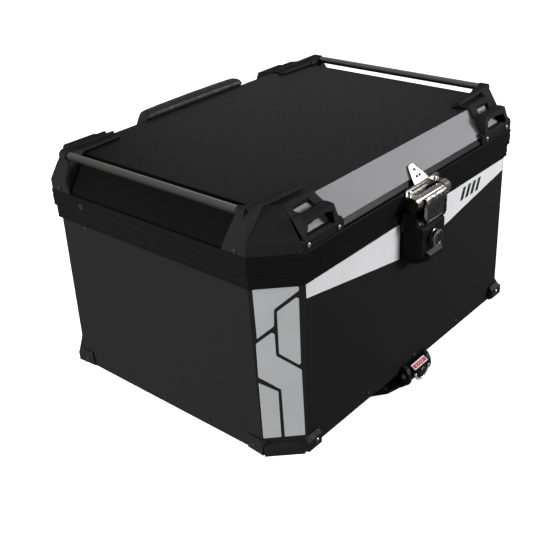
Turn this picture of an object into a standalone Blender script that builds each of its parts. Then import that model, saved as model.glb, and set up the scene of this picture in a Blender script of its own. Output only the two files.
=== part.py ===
"""Aluminium motorcycle top case with a hinged lid, latch, rails and rack adapter plate.

Frame: origin at the middle of the underside of the adapter plate, +Z up, latch side -Y.
Lengths below are millimetres; add() turns them into metres.
"""
import math

import bmesh
import bpy
from mathutils import Vector

MM = 0.001
GAP = 0.3

RIM_HX = 270.0
RIM_HY = 205.0
RIM_CUT = 42.8
DIAGONAL = 0.586

PLATE_TOP = 29.0
FLOOR_Z = 29.5
WALL_Z0 = 30.0
WALL_Z1 = 251.6
WALL_T = 1.8
BASE_RIM_Z0 = 252.0
BASE_RIM_Z1 = 269.3
LID_RIM_Z0 = 269.8
LID_RIM_Z1 = 291.6
SLOPE_Z = 298.1
PANEL_Z = 330.3
SLOPE_HX = 262.0
SLOPE_HY = 197.0
PANEL_HX = 230.0
PANEL_Y0 = -169.5
PANEL_Y1 = 165.0

HINGE_Y = 212.0
HINGE_Z = 269.4
HINGE_X = 150.0

RAIL_X = 252.0
RAIL_Z = 333.6
RAIL_R = 5.0
RAIL_END = 147.0

LATCH_PIN_Y = -221.5
LATCH_PIN_Z = 251.5
LOCK_Z = 225.5
ROLLER_Y = -216.2
ROLLER_Z = 278.5
ROLLER_R = 7.3

AXLE_Y = -205.0
AXLE_Z = 24.5
LOCK2_Z = 21.0

STAY_BASE = (112.7, 253.3)
STAY_LID = (107.3, 280.5)
STAY_KNEE = (8.42, 265.58)

BUMPER_SCREWS = (
    (-269.0, -146.8, 295.6, "x"),
    (-216.0, -203.0, 296.5, "y"),
    (-162.7, -203.0, 296.5, "y"),
)


def clear_scene():
    for obj in list(bpy.data.objects):
        bpy.data.objects.remove(obj)


def material(name, colour, rough, metal):
    mat = bpy.data.materials.new(name)
    mat.use_nodes = True
    bsdf = mat.node_tree.nodes["Principled BSDF"]
    bsdf.inputs["Base Color"].default_value = (colour[0], colour[1], colour[2], 1.0)
    bsdf.inputs["Roughness"].default_value = rough
    bsdf.inputs["Metallic"].default_value = metal
    return mat


def coated(name):
    return material(name + "_coat", (0.03, 0.03, 0.033), 0.5, 0.2)


def plastic(name):
    return material(name + "_plastic", (0.035, 0.036, 0.038), 0.6, 0.0)


def chrome(name):
    return material(name + "_chrome", (0.75, 0.75, 0.76), 0.12, 1.0)


def steel(name):
    return material(name + "_steel", (0.6, 0.6, 0.6), 0.3, 1.0)


def rubber(name):
    return material(name + "_rubber", (0.02, 0.02, 0.02), 0.8, 0.0)


def aluminium(name):
    return material(name + "_alu", (0.62, 0.63, 0.65), 0.4, 0.9)


def add(name, verts, faces, mat=None, origin=(0.0, 0.0, 0.0), smooth=False):
    """One mesh object from millimetre vertices, normals facing out."""
    bm = bmesh.new()
    made = [bm.verts.new([(v[i] - origin[i]) * MM for i in range(3)]) for v in verts]
    for face in faces:
        bm.faces.new([made[i] for i in face])
    bmesh.ops.recalc_face_normals(bm, faces=bm.faces)
    mesh = bpy.data.meshes.new(name)
    bm.to_mesh(mesh)
    bm.free()
    obj = bpy.data.objects.new(name, mesh)
    obj.location = [c * MM for c in origin]
    bpy.context.scene.collection.objects.link(obj)
    if mat:
        mesh.materials.append(mat)
    for poly in mesh.polygons:
        poly.use_smooth = smooth
    return obj


def sweep(name, rings, mat=None, closed=False, origin=(0.0, 0.0, 0.0), smooth=False):
    """Skin through a row of rings; the two ends are capped unless the row closes."""
    count = len(rings[0])
    verts = [p for ring in rings for p in ring]
    faces = []
    last = len(rings) if closed else len(rings) - 1
    for i in range(last):
        k = (i + 1) % len(rings)
        for j in range(count):
            m = (j + 1) % count
            faces.append((i * count + j, i * count + m, k * count + m, k * count + j))
    if not closed:
        faces.append(tuple(range(count)))
        faces.append(tuple((len(rings) - 1) * count + j for j in range(count)))
    return add(name, verts, faces, mat, origin, smooth)


def hull(points, name="tmp"):
    bm = bmesh.new()
    for p in points:
        bm.verts.new([c * MM for c in p])
    result = bmesh.ops.convex_hull(bm, input=bm.verts)
    loose = [g for g in result["geom_interior"] if isinstance(g, bmesh.types.BMVert)]
    bmesh.ops.delete(bm, geom=loose, context="VERTS")
    bmesh.ops.recalc_face_normals(bm, faces=bm.faces)
    mesh = bpy.data.meshes.new(name)
    bm.to_mesh(mesh)
    bm.free()
    obj = bpy.data.objects.new(name, mesh)
    bpy.context.scene.collection.objects.link(obj)
    return obj


def box(x0, x1, y0, y1, z0, z1):
    return hull([(x, y, z) for x in (x0, x1) for y in (y0, y1) for z in (z0, z1)])


def rod(axis, centre, start, end, radius, sides=24, name="tmp", mat=None, origin=(0.0, 0.0, 0.0)):
    """Round bar along x, y or z; centre gives the other two coordinates in order."""
    rings = []
    for s in (start, end):
        ring = []
        for k in range(sides):
            a = 2.0 * math.pi * k / sides
            u = centre[0] + radius * math.cos(a)
            v = centre[1] + radius * math.sin(a)
            ring.append({"x": (s, u, v), "y": (u, s, v), "z": (u, v, s)}[axis])
        rings.append(ring)
    return sweep(name, rings, mat, False, origin)


def turned(name, axis, centre, profile, mat, sides=24, closed=False, origin=(0.0, 0.0, 0.0)):
    """Turned piece: profile holds (distance along the axis, radius)."""
    rings = []
    for s, radius in profile:
        ring = []
        for k in range(sides):
            a = 2.0 * math.pi * k / sides
            u = centre[0] + radius * math.cos(a)
            v = centre[1] + radius * math.sin(a)
            ring.append({"x": (s, u, v), "y": (u, s, v), "z": (u, v, s)}[axis])
        rings.append(ring)
    return sweep(name, rings, mat, closed, origin)


def combine(obj, other, operation):
    mod = obj.modifiers.new("combine", "BOOLEAN")
    mod.operation = operation
    mod.solver = "EXACT"
    mod.object = other
    bpy.context.view_layer.update()
    graph = bpy.context.evaluated_depsgraph_get()
    mesh = bpy.data.meshes.new_from_object(obj.evaluated_get(graph))
    obj.modifiers.clear()
    old = obj.data
    obj.data = mesh
    bpy.data.meshes.remove(old)
    bpy.data.objects.remove(other)


def tidy(obj):
    bm = bmesh.new()
    bm.from_mesh(obj.data)
    bmesh.ops.remove_doubles(bm, verts=bm.verts, dist=0.00001)
    bmesh.ops.dissolve_limit(
        bm, angle_limit=math.radians(0.2), verts=bm.verts, edges=bm.edges, delimit={"NORMAL"}
    )
    bmesh.ops.triangulate(bm, faces=bm.faces)
    bmesh.ops.dissolve_degenerate(bm, dist=0.00001, edges=bm.edges)
    bmesh.ops.recalc_face_normals(bm, faces=bm.faces)
    bm.to_mesh(obj.data)
    bm.free()


def build(name, mat, joined, cut=(), origin=(0.0, 0.0, 0.0)):
    """One named body: the joined pieces welded together, then the cutters taken away."""
    obj = joined[0]
    for piece in joined[1:]:
        combine(obj, piece, "UNION")
    for cutter in cut:
        combine(obj, cutter, "DIFFERENCE")
    tidy(obj)
    obj.name = name
    obj.data.name = name
    obj.data.materials.clear()
    obj.data.materials.append(mat)
    offset = Vector([c * MM for c in origin])
    for vert in obj.data.vertices:
        vert.co -= offset
    obj.location = offset
    return obj


def octagon(hx, y0, y1, cut, z):
    return [
        (-hx + cut, y0, z),
        (hx - cut, y0, z),
        (hx, y0 + cut, z),
        (hx, y1 - cut, z),
        (hx - cut, y1, z),
        (-hx + cut, y1, z),
        (-hx, y1 - cut, z),
        (-hx, y0 + cut, z),
    ]


def inset_octagon(inset, z):
    hy = RIM_HY - inset
    return octagon(RIM_HX - inset, -hy, hy, RIM_CUT - DIAGONAL * inset, z)


def band(name, profile, mat):
    """Ring round the case: profile holds (inset from the rim outline, height)."""
    return sweep(name, [inset_octagon(i, z) for i, z in profile], mat, True)


def wall_ring(inset, z):
    """Wall outline at a height; the wall leans out a little towards the top."""
    t = (z - 31.5) / 220.0
    hx = 262.4 + 2.3 * t - inset
    hy = 200.2 + 0.7 * t - inset
    cut = 36.8 + 6.8 * t - DIAGONAL * inset
    return octagon(hx, -hy, hy, cut, z)


def mirrored(points, sx, sy):
    return [(p[0] * sx, p[1] * sy, p[2]) for p in points]


def wall_shell():
    rings = [
        wall_ring(0.0, WALL_Z0),
        wall_ring(0.0, WALL_Z1),
        wall_ring(WALL_T, WALL_Z1),
        wall_ring(WALL_T, WALL_Z0),
    ]
    sweep("wall_shell", rings, coated("wall_shell"), True)


def floor_pan():
    fit = WALL_T + 0.4
    rings = [
        wall_ring(fit, FLOOR_Z),
        wall_ring(fit, 46.0),
        wall_ring(fit + 1.6, 46.0),
        wall_ring(fit + 1.6, FLOOR_Z + 2.0),
    ]
    sweep("floor_pan", rings, aluminium("floor_pan"))


def base_rim():
    profile = (
        (2.4, 252.8),
        (2.4, 255.6),
        (3.1, 256.0),
        (3.1, 257.2),
        (2.4, 257.6),
        (2.4, 263.6),
        (3.0, 264.0),
        (3.0, 264.8),
        (2.4, 265.2),
        (2.4, 268.5),
        (3.2, BASE_RIM_Z1),
        (4.2, BASE_RIM_Z1),
        (4.2, 266.0),
        (8.6, 266.0),
        (8.6, BASE_RIM_Z1),
        (12.0, BASE_RIM_Z1),
        (12.0, BASE_RIM_Z0),
        (3.2, BASE_RIM_Z0),
    )
    band("base_rim", profile, coated("base_rim"))


def gasket():
    profile = ((4.5, 266.3), (4.5, 268.8), (5.5, 269.6), (7.3, 269.6), (8.3, 268.8), (8.3, 266.3))
    band("gasket", profile, rubber("gasket"))


def lid_rim(lid):
    profile = (
        (0.7, LID_RIM_Z0),
        (0.0, 270.5),
        (0.0, 273.4),
        (0.7, 273.8),
        (0.7, 275.0),
        (0.0, 275.4),
        (0.0, 284.6),
        (0.7, 285.0),
        (0.7, 286.2),
        (0.0, 286.6),
        (0.0, 290.8),
        (0.8, LID_RIM_Z1),
        (4.4, LID_RIM_Z1),
        (4.4, LID_RIM_Z0),
    )
    hang(band("lid_rim", profile, coated("lid_rim")), lid)


def lid_rings(grow, z_skin):
    """Outside of the lid, bottom to top, grown outwards for clearance cutters."""
    foot = 4.8 - grow
    side = SLOPE_HX + grow * 1.35
    front = SLOPE_HY + grow * 1.35
    panel = PANEL_HX + grow
    return [
        inset_octagon(foot, 270.1),
        inset_octagon(foot, 292.5),
        octagon(side, -front, front, 38.0, SLOPE_Z),
        octagon(panel, PANEL_Y0 - grow, PANEL_Y1 + grow, 25.0, PANEL_Z + z_skin),
    ]


def lid_shell(lid):
    t = WALL_T
    inner = [
        octagon(PANEL_HX - 0.8, PANEL_Y0 + 0.8, PANEL_Y1 - 0.8, 24.5, PANEL_Z - t),
        octagon(SLOPE_HX - 1.9, -SLOPE_HY + 1.9, SLOPE_HY - 1.9, 37.0, SLOPE_Z - 1.1),
        inset_octagon(4.8 + t, 292.0),
        inset_octagon(4.8 + t, 270.1),
    ]
    rings = inner + lid_rings(0.0, 0.0)
    hang(sweep("lid_shell", rings, coated("lid_shell")), lid)


def slope_point(x, y, lift):
    """Point on the lid's front slope, lifted along its normal."""
    rise = (PANEL_Z - SLOPE_Z) / (PANEL_Y0 + SLOPE_HY)
    z = SLOPE_Z + (y + SLOPE_HY) * rise
    normal = Vector((0.0, -rise, 1.0)).normalized()
    return (x, y + normal.y * lift, z + normal.z * lift)


def front_strip(lid):
    points = []
    for x, y in ((-213.0, -196.6), (213.0, -196.6), (203.0, -170.2), (-203.0, -170.2)):
        points.append(slope_point(x, y, GAP))
        points.append(slope_point(x, y, GAP + 0.6))
    hang(build("front_strip", aluminium("front_strip"), [hull(points)]), lid)


def bumper_pieces(sx, sy):
    """Corner block, lip, tie-down loop and foot of one bumper, as pieces to weld."""
    apex = (-252.8, -151.7, 339.8)
    tip = (-168.0, -153.6, 338.0)
    step = (-229.7, -155.0, 335.5)
    knee = (-215.6, -170.6, 334.5)
    side = (-269.0, -162.0, 304.5)
    front = (-228.0, -203.0, 304.5)
    low = 291.9
    rows = [
        [
            apex, (-252.0, -140.6, 337.5), (-269.0, -132.6, 304.2), (-269.0, -127.3, low),
            side, (-269.0, -162.0, low), step, (-229.7, -141.0, 335.0), (-229.7, -155.0, 300.0),
            (-238.0, -129.0, 300.0), (-238.0, -129.0, low),
        ],
        [
            step, knee, side, (-269.0, -162.0, low), front, (-228.0, -203.0, low),
            (-216.0, -172.5, 312.0), (-218.0, -190.0, 300.0), (-225.0, -150.0, 331.0),
            (-235.0, -150.0, low), (-218.0, -197.0, low),
        ],
        [
            apex, (-252.8, -155.0, 339.2), (-252.8, -156.0, 334.6), (-252.4, -151.8, 334.6),
            tip, (-168.0, -157.0, 337.4), (-168.0, -158.0, 332.8), (-168.0, -153.4, 332.8),
        ],
        [
            (-250.0, -154.4, 329.0), (-250.0, -141.0, 329.0), (-166.0, -155.4, 329.0),
            (-167.0, -144.6, 329.0), (-250.0, -154.4, 336.4), (-250.0, -142.0, 334.4),
            (-167.4, -155.4, 334.4), (-168.0, -145.4, 334.0), (-162.8, -152.6, 329.0),
            (-163.0, -148.0, 329.0), (-163.6, -151.8, 333.2), (-163.8, -148.4, 333.2),
        ],
        [
            (-219.0, -153.0, 329.0), (-167.0, -153.0, 329.0), (-219.0, -153.0, 332.5),
            (-167.0, -153.0, 332.5), (-217.0, -170.6, 332.5), (-167.8, -171.0, 332.5),
            (-217.0, -171.0, 329.0), (-167.8, -171.7, 329.0),
        ],
        [
            (-215.6, -170.6, 335.2), (-168.5, -171.7, 335.0), (-162.6, -182.4, 322.9),
            (-219.0, -182.8, 322.4), (-215.6, -168.2, 332.2), (-168.5, -168.5, 332.0),
            (-162.6, -180.4, 319.6), (-219.0, -180.4, 319.4),
        ],
        [
            (-219.0, -182.0, 322.6), (-163.6, -182.0, 322.9), (-219.0, -180.4, 319.4),
            (-163.6, -180.4, 319.6), (-214.6, -192.5, 326.6), (-168.0, -192.5, 326.6),
            (-216.0, -198.4, 325.6), (-166.2, -198.4, 325.2), (-216.0, -194.5, 320.5),
            (-166.2, -194.5, 320.2), (-216.0, -186.0, 325.2), (-166.0, -186.0, 325.2),
        ],
        [
            (-219.0, -181.0, 320.4), (-211.6, -181.0, 320.4), (-217.6, -198.2, 325.0),
            (-211.6, -198.4, 325.4), (-222.6, -202.6, 305.0), (-213.0, -202.6, 304.0),
            (-222.6, -194.0, 301.0), (-213.0, -191.0, 304.0), (-214.0, -192.5, 326.4),
        ],
        [
            (-169.6, -184.0, 320.4), (-163.4, -184.0, 320.4), (-169.6, -198.4, 325.0),
            (-165.4, -198.4, 324.0), (-163.0, -199.6, 316.0), (-168.4, -202.6, 304.0),
            (-159.4, -202.4, 304.4), (-168.4, -190.0, 304.8), (-158.6, -190.0, 304.8),
        ],
        [
            (-229.0, -203.0, 302.0), (-153.4, -203.0, 301.8), (-229.0, -203.0, low),
            (-153.4, -203.0, low), (-226.0, -198.2, 306.6), (-152.4, -198.2, 305.0),
            (-226.0, -195.6, 306.4), (-152.6, -195.6, 304.8), (-229.0, -194.0, 300.0),
            (-155.0, -194.0, 300.0), (-229.0, -196.0, low), (-153.4, -196.0, low),
        ],
        [
            (-215.0, -198.4, 325.5), (-165.4, -198.4, 325.1), (-216.6, -199.6, 317.2),
            (-162.8, -199.6, 317.2), (-215.0, -195.0, 324.0), (-165.4, -195.0, 323.6),
            (-216.6, -196.4, 317.2), (-162.8, -196.4, 317.2),
        ],
    ]
    return [hull(mirrored(row, sx, sy)) for row in rows]


def bumper_cutters(sx, sy):
    """Lid clearance, loop windows, rail socket and screw holes of one bumper."""
    windows = [
        [
            (-206.4, -175.4, 342.0), (-180.4, -175.2, 342.0), (-208.6, -178.6, 342.0),
            (-175.6, -183.0, 342.0), (-202.6, -183.2, 342.0), (-206.4, -175.4, 315.0),
            (-180.4, -175.2, 315.0), (-208.6, -178.6, 315.0), (-175.6, -183.0, 315.0),
            (-202.6, -183.2, 315.0),
        ],
        [
            (x, y, z)
            for y in (-210.0, -184.0)
            for x, z in ((-216.0, 305.0), (-216.0, 309.0), (-211.6, 315.2), (-203.0, 318.0),
                         (-178.0, 319.6), (-170.8, 316.6), (-168.6, 311.6), (-168.6, 305.0))
        ],
    ]
    cutters = [sweep("tmp", lid_rings(1.6, 0.8))]
    cutters += [hull(mirrored(row, sx, sy)) for row in windows]
    ends = (140.0 * -1 * sy, (RAIL_END + 0.4) * -1 * sy)
    cutters.append(rod("y", (-RAIL_X * sx, RAIL_Z), ends[0] * 0.5, ends[1], RAIL_R + GAP, 24))
    for x, y, z, axis in BUMPER_SCREWS:
        if axis == "x":
            cutters.append(rod("x", (y * sy, z), (x - 2.0) * sx, (x + 3.6) * sx, 2.1, 12))
        else:
            cutters.append(rod("y", (x * sx, z), (y - 2.0) * sy, (y + 3.6) * sy, 2.1, 12))
    return cutters


def bumper(tag, sx, sy, lid):
    name = "bumper_" + tag
    pieces = bumper_pieces(sx, sy)
    socket = rod("y", (-RAIL_X * sx, RAIL_Z), -140.6 * sy, -152.5 * sy, 6.3, 24)
    pieces.append(socket)
    hang(build(name, plastic(name), pieces, bumper_cutters(sx, sy)), lid)
    for k, (x, y, z, axis) in enumerate(BUMPER_SCREWS):
        bumper_screw(name + "_screw_" + str(k + 1), x, y, z, axis, sx, sy, lid)


def bumper_screw(name, x, y, z, axis, sx, sy, lid):
    """Button-head screw: shank in the hole, head just off the face."""
    if axis == "x":
        out = -sx
        centre = (y * sy, z)
        face = x * sx
    else:
        out = -sy
        centre = (x * sx, z)
        face = y * sy
    profile = (
        (face - 3.0 * out, 1.8),
        (face + GAP * out, 1.8),
        (face + GAP * out, 3.4),
        (face + 1.1 * out, 3.3),
        (face + 1.9 * out, 2.2),
        (face + 2.1 * out, 1.0),
    )
    hang(turned(name, axis, centre, profile, steel(name), 12), lid)


def rail(tag, sx, lid):
    name = "rail_" + tag
    profile = ((-RAIL_END, 4.4), (-RAIL_END + 0.6, RAIL_R), (RAIL_END - 0.6, RAIL_R), (RAIL_END, 4.4))
    obj = turned(name, "y", (RAIL_X * sx, RAIL_Z), profile, steel(name), 24)
    for poly in obj.data.polygons:
        poly.use_smooth = True
    hang(obj, lid)


def catch_plate(lid):
    """Plate on the lid rim with a lifting tab and two end blocks that carry the roller."""
    back = -205.3
    pieces = [
        hull([
            (x, y, z)
            for x, z in ((-36.6, 271.0), (36.6, 271.0), (-36.6, 291.6), (36.6, 291.6),
                         (-33.6, 294.4), (33.6, 294.4))
            for y in (back, back - 1.8)
        ]),
        hull([
            (-16.0, -205.5, 292.6), (15.0, -205.5, 292.6), (-16.0, -206.9, 293.4),
            (15.0, -206.9, 293.4), (-14.6, -201.6, 296.3), (13.6, -201.6, 296.3),
            (-14.6, -203.0, 297.4), (13.6, -203.0, 297.4),
        ]),
        hull([
            (-14.6, -201.6, 296.3), (13.6, -201.6, 296.3), (-14.6, -203.0, 297.4),
            (13.6, -203.0, 297.4), (-7.2, -189.8, 309.2), (7.6, -190.6, 308.3),
            (-7.2, -191.1, 310.3), (7.6, -191.9, 309.4), (-3.8, -188.3, 311.0),
            (3.8, -188.3, 311.0), (-3.8, -189.6, 312.1), (3.8, -189.6, 312.1),
        ]),
    ]
    side = [(back - 0.2, 272.0), (back - 0.2, 286.6)]
    for k in range(14):
        a = math.pi * (0.45 + 1.1 * k / 13)
        side.append((ROLLER_Y + 8.6 * math.cos(a), ROLLER_Z + 8.6 * math.sin(a)))
    for s in (-1.0, 1.0):
        pieces.append(hull([(x * s, y, z) for x in (26.2, 37.1) for y, z in side]))
    bores = [rod("x", (ROLLER_Y, ROLLER_Z), 20.0 * s, 32.4 * s, 3.3, 20) for s in (-1.0, 1.0)]
    hang(build("catch_plate", chrome("catch_plate"), pieces, bores), lid)


def catch_roller(lid):
    profile = (
        (-32.0, 3.0), (-25.8, 3.0), (-25.8, 6.7), (-25.2, ROLLER_R),
        (25.2, ROLLER_R), (25.8, 6.7), (25.8, 3.0), (32.0, 3.0),
    )
    origin = (0.0, ROLLER_Y, ROLLER_Z)
    obj = turned("catch_roller", "x", (ROLLER_Y, ROLLER_Z), profile, chrome("catch_roller"), 28,
                 False, origin)
    hang(obj, lid)


def backrest_pad(lid):
    """Padded backrest lying against the back slope, fuller in the middle."""
    sections = (
        (96.0, 0.62), (93.5, 0.84), (88.0, 0.95), (60.0, 1.0), (0.0, 1.0),
        (-60.0, 1.0), (-88.0, 0.95), (-93.5, 0.84), (-96.0, 0.62),
    )
    rings = []
    for x, full in sections:
        bow = 6.0 * (1.0 - (x / 96.0) ** 2)
        rear = 16.0 * full
        top = 8.6 * full
        rings.append([
            (x, 166.8, 331.0),
            (x, 167.8, 331.0 + 0.55 * top),
            (x, 170.6, 331.0 + 0.88 * top),
            (x, 177.0, 331.0 + top),
            (x, 186.0 + 0.3 * bow, 330.6 + 0.9 * top),
            (x, 184.0 + 0.6 * rear + bow, 323.0 + 0.6 * top),
            (x, 190.0 + 0.7 * rear + 0.6 * bow, 313.0),
            (x, 196.0 + 0.4 * rear, 304.0),
            (x, 197.4, 300.0),
        ])
    hang(sweep("backrest_pad", rings, rubber("backrest_pad"), False, (0.0, 0.0, 0.0), True), lid)


def corner_guard(tag, sx, sy):
    name = "corner_guard_" + tag
    rows = [
        [
            (-263.8, -165.0, 30.5), (-229.0, -200.6, 30.5), (-267.6, -169.5, 34.0),
            (-231.6, -206.4, 34.0), (-267.6, -169.5, 43.0), (-231.6, -206.4, 43.0),
            (-262.0, -163.0, 46.0), (-226.0, -199.0, 46.0), (-250.0, -150.0, 30.5),
            (-215.0, -190.0, 30.5), (-250.0, -150.0, 46.0), (-215.0, -190.0, 46.0),
        ],
        [
            (-268.6, -168.0, 33.0), (-268.6, -168.0, 46.0), (-265.6, -142.0, 32.0),
            (-265.6, -142.0, 46.0), (-263.6, -140.0, 30.5), (-264.6, -142.0, 51.5),
            (-264.6, -160.0, 51.5), (-258.0, -168.0, 30.5), (-258.0, -142.0, 30.5),
            (-258.0, -168.0, 49.0), (-258.0, -142.0, 51.0), (-265.0, -166.0, 30.5),
        ],
        [
            (-231.0, -207.4, 33.0), (-231.0, -207.4, 46.0), (-207.0, -207.4, 33.0),
            (-205.0, -206.4, 46.0), (-207.0, -202.6, 51.5), (-226.0, -202.6, 51.5),
            (-205.0, -203.0, 30.5), (-229.0, -203.0, 30.5), (-229.0, -196.0, 30.5),
            (-207.0, -196.0, 30.5), (-226.0, -196.0, 50.0), (-207.0, -196.0, 51.0),
        ],
        [
            (-262.5, -165.5, 25.8), (-229.0, -200.0, 25.8), (-262.5, -165.5, 31.5),
            (-229.0, -200.0, 31.5), (-244.0, -147.0, 25.8), (-211.0, -182.0, 25.8),
            (-244.0, -147.0, 29.1), (-211.0, -182.0, 29.1),
        ],
    ]
    pieces = [hull(mirrored(row, sx, sy)) for row in rows]
    clear = sweep("tmp", [wall_ring(-GAP, FLOOR_Z - 0.4), wall_ring(-GAP, 60.0)])
    build(name, plastic(name), pieces, [clear])


def base_plate():
    nose = [
        (-18.0, -200.0), (18.0, -200.0), (23.0, -197.0), (44.5, -192.0), (61.0, -179.0),
        (150.0, -130.0), (165.0, -110.0), (165.0, 140.0), (150.0, 153.0), (-150.0, 153.0),
        (-165.0, 140.0), (-165.0, -110.0), (-150.0, -130.0), (-61.0, -179.0),
        (-44.5, -192.0), (-23.0, -197.0),
    ]
    sheet = sweep("tmp", [[(x, y, 0.0) for x, y in nose], [(x, y, 6.0) for x, y in nose]])
    pieces = [sheet, box(-150.0, 150.0, 150.0, 153.0, 5.0, PLATE_TOP)]
    pieces.append(box(-40.0, 40.0, -178.0, -174.5, 5.0, 26.0))
    for s in (-1.0, 1.0):
        pieces.append(box(147.0 * s, 150.0 * s, -128.0, 151.0, 5.0, PLATE_TOP))
        pieces.append(box(60.0 * s, 63.0 * s, -176.0, 151.0, 5.0, PLATE_TOP))
        pieces.append(hull([
            (24.0 * s, -196.0, 5.0), (44.5 * s, -191.5, 5.0), (60.6 * s, -178.8, 5.0),
            (62.0 * s, -172.0, 5.0), (24.0 * s, -172.0, 5.0), (26.0 * s, -176.0, 25.5),
            (60.0 * s, -174.0, 25.5), (26.0 * s, -172.0, 25.5), (60.0 * s, -172.0, 25.5),
        ]))
    pieces.append(box(-150.0, 150.0, -131.0, -128.0, 5.0, PLATE_TOP))
    cutters = [box(-13.0, 13.0, -180.0, -172.0, 13.0, 23.0)]
    for s in (-1.0, 1.0):
        cutters.append(box(76.0 * s, 104.0 * s, 148.0, 155.0, 8.0, 21.0))
        for y in (-90.0, 90.0):
            cutters.append(box(100.0 * s, 108.0 * s, y - 18.0, y + 18.0, -2.0, 8.0))
    build("base_plate", plastic("base_plate"), pieces, cutters)


def rear_hook(tag, s):
    name = "rear_hook_" + tag
    pieces = [
        box(80.0 * s, 100.0 * s, 157.0, 161.0, 10.0, PLATE_TOP + 0.2),
        box(80.0 * s, 100.0 * s, 144.0, 159.0, 10.0, 14.0),
        box(80.0 * s, 100.0 * s, 157.0, 176.0, 26.0, PLATE_TOP + 0.2),
    ]
    build(name, steel(name), pieces)


def release_bracket():
    pieces = [
        box(-27.0, 27.0, -202.6, -200.6, 31.0, 38.0),
        box(-27.0, 27.0, -201.0, -184.0, 27.2, 29.2),
    ]
    for s in (-1.0, 1.0):
        pieces.append(hull([
            (x * s, y, z)
            for x in (20.6, 27.0)
            for y, z in (
                (-200.6, 27.4), (-200.6, 36.6), (-204.0, 38.2), (-208.6, 36.0), (-212.4, 29.0),
                (-214.0, 20.5), (-212.6, 13.6), (-208.0, 10.0), (-202.8, 10.0), (-200.6, 14.0),
            )
        ]))
        pieces.append(box(9.8 * s, 16.0 * s, -200.0, -185.0, 13.5, 28.0))
    cutters = [rod("x", (AXLE_Y, AXLE_Z), -30.0, 30.0, 2.8, 20)]
    build("release_bracket", plastic("release_bracket"), pieces, cutters)


def release_axle():
    profile = (
        (-28.6, 2.6), (-28.2, 3.6), (-27.3, 3.6), (-27.3, 2.5),
        (27.3, 2.5), (27.3, 3.6), (28.2, 3.6), (28.6, 2.6),
    )
    turned("release_axle", "x", (AXLE_Y, AXLE_Z), profile, chrome("release_axle"), 20)


def release_lever():
    """Paddle on the axle: a tilted head and a round tongue that is pulled outwards."""
    origin = (0.0, AXLE_Y, AXLE_Z)
    tongue = [(17.2, 31.4), (-17.2, 31.4)]
    for k in range(17):
        a = math.pi * (1.0 + k / 16)
        tongue.append((17.2 * math.cos(a), 28.6 + 17.2 * math.sin(a)))
    pieces = [
        hull([
            (x, y, z)
            for x in (-17.2, 17.2)
            for y, z in ((-206.2, 35.2), (-207.4, 36.8), (-216.0, 31.4), (-215.0, 28.4), (-206.4, 29.0))
        ]),
        rod("x", (AXLE_Y, AXLE_Z), -17.2, 17.2, 3.8, 24),
        hull([
            (x, y, z)
            for x in (-17.2, 17.2)
            for y, z in ((-205.6, 22.0), (-206.4, 31.0), (-214.0, 31.0), (-213.4, 22.0))
        ]),
        hull([(x, y, z) for x, z in tongue for y in (-216.2, -212.8)]),
    ]
    cutters = [
        rod("x", (AXLE_Y, AXLE_Z), -22.0, 22.0, 2.8, 20),
        rod("y", (1.0, LOCK2_Z), -219.0, -214.2, 7.3, 24),
    ]
    build("release_lever", plastic("release_lever"), pieces, cutters, origin)


def release_lock():
    origin = (1.0, -215.0, LOCK2_Z)
    profile = ((-217.4, 5.2), (-217.4, 6.3), (-216.8, 7.0), (-214.5, 7.0), (-214.5, 3.0))
    obj = turned("tmp", "y", (1.0, LOCK2_Z), profile, None, 24)
    slot = box(-2.6, 4.6, -219.0, -216.2, LOCK2_Z - 0.7, LOCK2_Z + 0.7)
    build("release_lock", chrome("release_lock"), [obj], [slot], origin)


def release_pawl():
    pieces = [
        box(-9.0, 9.0, -197.5, -173.6, 15.5, 19.5),
        box(-4.0, 4.0, -197.5, -194.5, 13.5, 19.5),
    ]
    build("release_pawl", steel("release_pawl"), pieces, (), (0.0, -185.0, 18.0))


def latch_housing():
    pieces = [
        hull([
            (x, y, z)
            for x, y in ((-41.0, -202.9), (41.0, -202.9), (-41.0, -208.0), (41.0, -208.0))
            for z in (242.6, 268.2)
        ]),
        box(-39.0, 39.0, -204.5, -201.3, 242.6, 251.0),
        hull([
            (-38.0, -207.0, 243.6), (38.0, -207.0, 243.6), (-38.0, -207.0, 266.0),
            (38.0, -207.0, 266.0), (-26.0, -217.0, 244.0), (26.0, -217.0, 244.0),
            (-26.0, -216.0, 264.0), (26.0, -216.0, 264.0),
        ]),
        hull([
            (-34.0, -201.3, 203.0), (34.0, -201.3, 203.0), (-35.0, -203.0, 248.0),
            (35.0, -203.0, 248.0), (-25.0, -224.0, 206.0), (25.0, -224.0, 206.0),
            (-25.0, -224.6, 242.0), (25.0, -224.6, 242.0), (-26.0, -216.0, 248.0),
            (26.0, -216.0, 248.0), (-28.0, -217.0, 202.0), (28.0, -217.0, 202.0),
        ]),
        hull([
            (x * s, y, z)
            for s in (-1.0, 1.0)
            for x, y, z in ((23.0, -201.3, 195.0), (25.0, -203.0, 208.0), (17.0, -216.0, 192.0),
                            (13.0, -225.0, 196.0), (14.0, -229.6, 201.0), (14.0, -229.8, 206.0),
                            (17.0, -225.4, 211.0), (20.0, -222.0, 210.0), (21.0, -212.0, 192.6))
        ]),
    ]
    for s in (-1.0, 1.0):
        pieces.append(hull([
            (x * s, y, z)
            for x in (22.8, 27.4)
            for y, z in ((-214.0, 244.0), (-214.0, 258.0), (-223.5, 255.5), (-225.5, 251.0),
                         (-223.5, 245.0))
        ]))
    cutters = [
        rod("x", (LATCH_PIN_Y, LATCH_PIN_Z), -30.0, 30.0, 1.9, 16),
        rod("y", (0.0, LOCK_Z), -230.0, -212.0, 6.4, 24),
    ]
    build("latch_housing", plastic("latch_housing"), pieces, cutters)


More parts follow.
